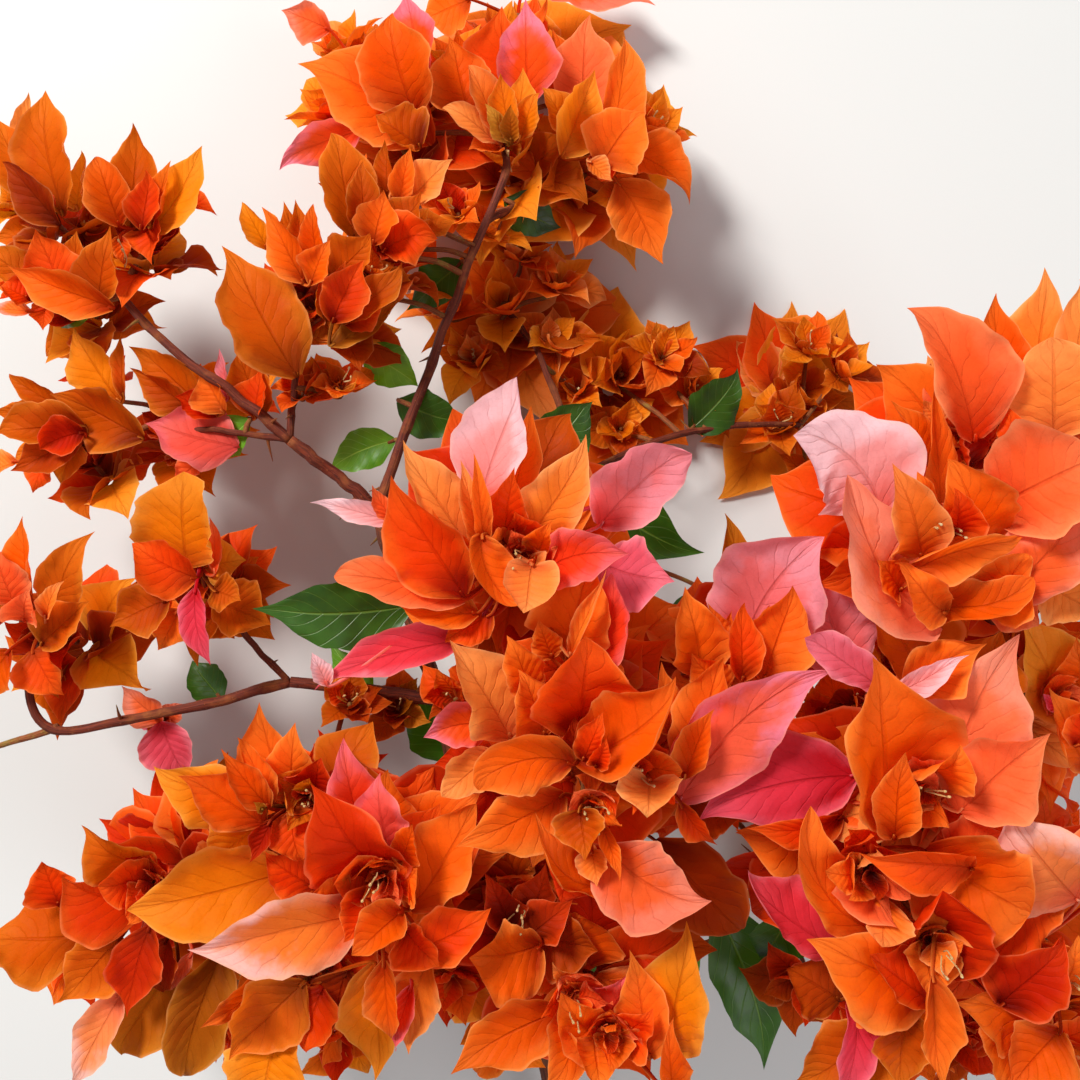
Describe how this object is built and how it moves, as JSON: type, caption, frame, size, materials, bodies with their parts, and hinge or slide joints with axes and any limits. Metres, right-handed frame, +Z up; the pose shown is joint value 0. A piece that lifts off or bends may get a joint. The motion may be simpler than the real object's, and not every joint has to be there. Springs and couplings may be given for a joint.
{
  "type": "bougainvillea flowering branch",
  "caption": "Cut, forked flowering spray of a double-bract orange bougainvillea, lying on a level surface with its blooms facing up.",
  "frame": {"origin": "on the surface that the spray lies on, under the middle of its box", "axes": "+Z up, away from the surface, the way the blooms face; the cut end of the main stem points to -Y, which is the long way of the spray"},
  "size_m": [0.4292, 0.5484, 0.1792],
  "materials": {
    "bark": "rough, ridged, red-brown young bark",
    "bract": "papery, thin, matt with a soft sheen; orange to coral and pink",
    "leaf": "satin green leaf"
  },
  "bodies": {
    "root": {"main_stem_lower": "bark", "main_stem_middle": "bark", "main_stem_upper": "bark", "bough_left": "bark", "bough_left_tip": "bark", "branch_left_fork": "bark", "branch_left_low": "bark", "bough_top": "bark", "bough_lower_left": "bark", "bough_lower_left_tip": "bark", "branch_inner_left": "bark", "bough_right": "bark", "branch_right_upper": "bark", "bough_bottom_left": "bark", "branch_far_left": "bark", "branch_bottom": "bark", "branch_center": "bark", "bough_back": "bark", "branch_back_left": "bark", "branch_back_right": "bark", "branch_top_far": "bark", "branch_under_right": "bark", "bloom_center_top": "bract", "bloom_center": "bract", "bloom_center_right": "bract", "bloom_center_low": "bract", "bloom_upright_right": "bract", "bloom_right_upper": "bract", "bloom_right_top": "bract", "bloom_right_outer": "bract", "bloom_low_right_a": "bract", "bloom_low_right_b": "bract", "bloom_low_right_c": "bract", "bloom_low_right_d": "bract", "bloom_right_edge": "bract", "bloom_low_left_a": "bract", "bloom_low_left_b": "bract", "bloom_far_left_low": "bract", "bloom_bottom": "bract", "bloom_bottom_inner": "bract", "bloom_bottom_left": "bract", "bloom_left_top_a": "bract", "bloom_left_top_b": "bract", "bloom_left_top_c": "bract", "bloom_left_mid_a": "bract", "bloom_left_mid_b": "bract", "bloom_left_mid_c": "bract", "bloom_left_low_a": "bract", "bloom_left_low_b": "bract", "bloom_left_inner": "bract", "bloom_far_left": "bract", "bloom_top_a": "bract", "bloom_top_b": "bract", "bloom_top_c": "bract", "bloom_top_d": "bract", "bloom_back_a": "bract", "bloom_back_b": "bract", "bloom_back_c": "bract", "bloom_under_left": "bract", "bloom_under_right": "bract"}
  },
  "joints": []
}
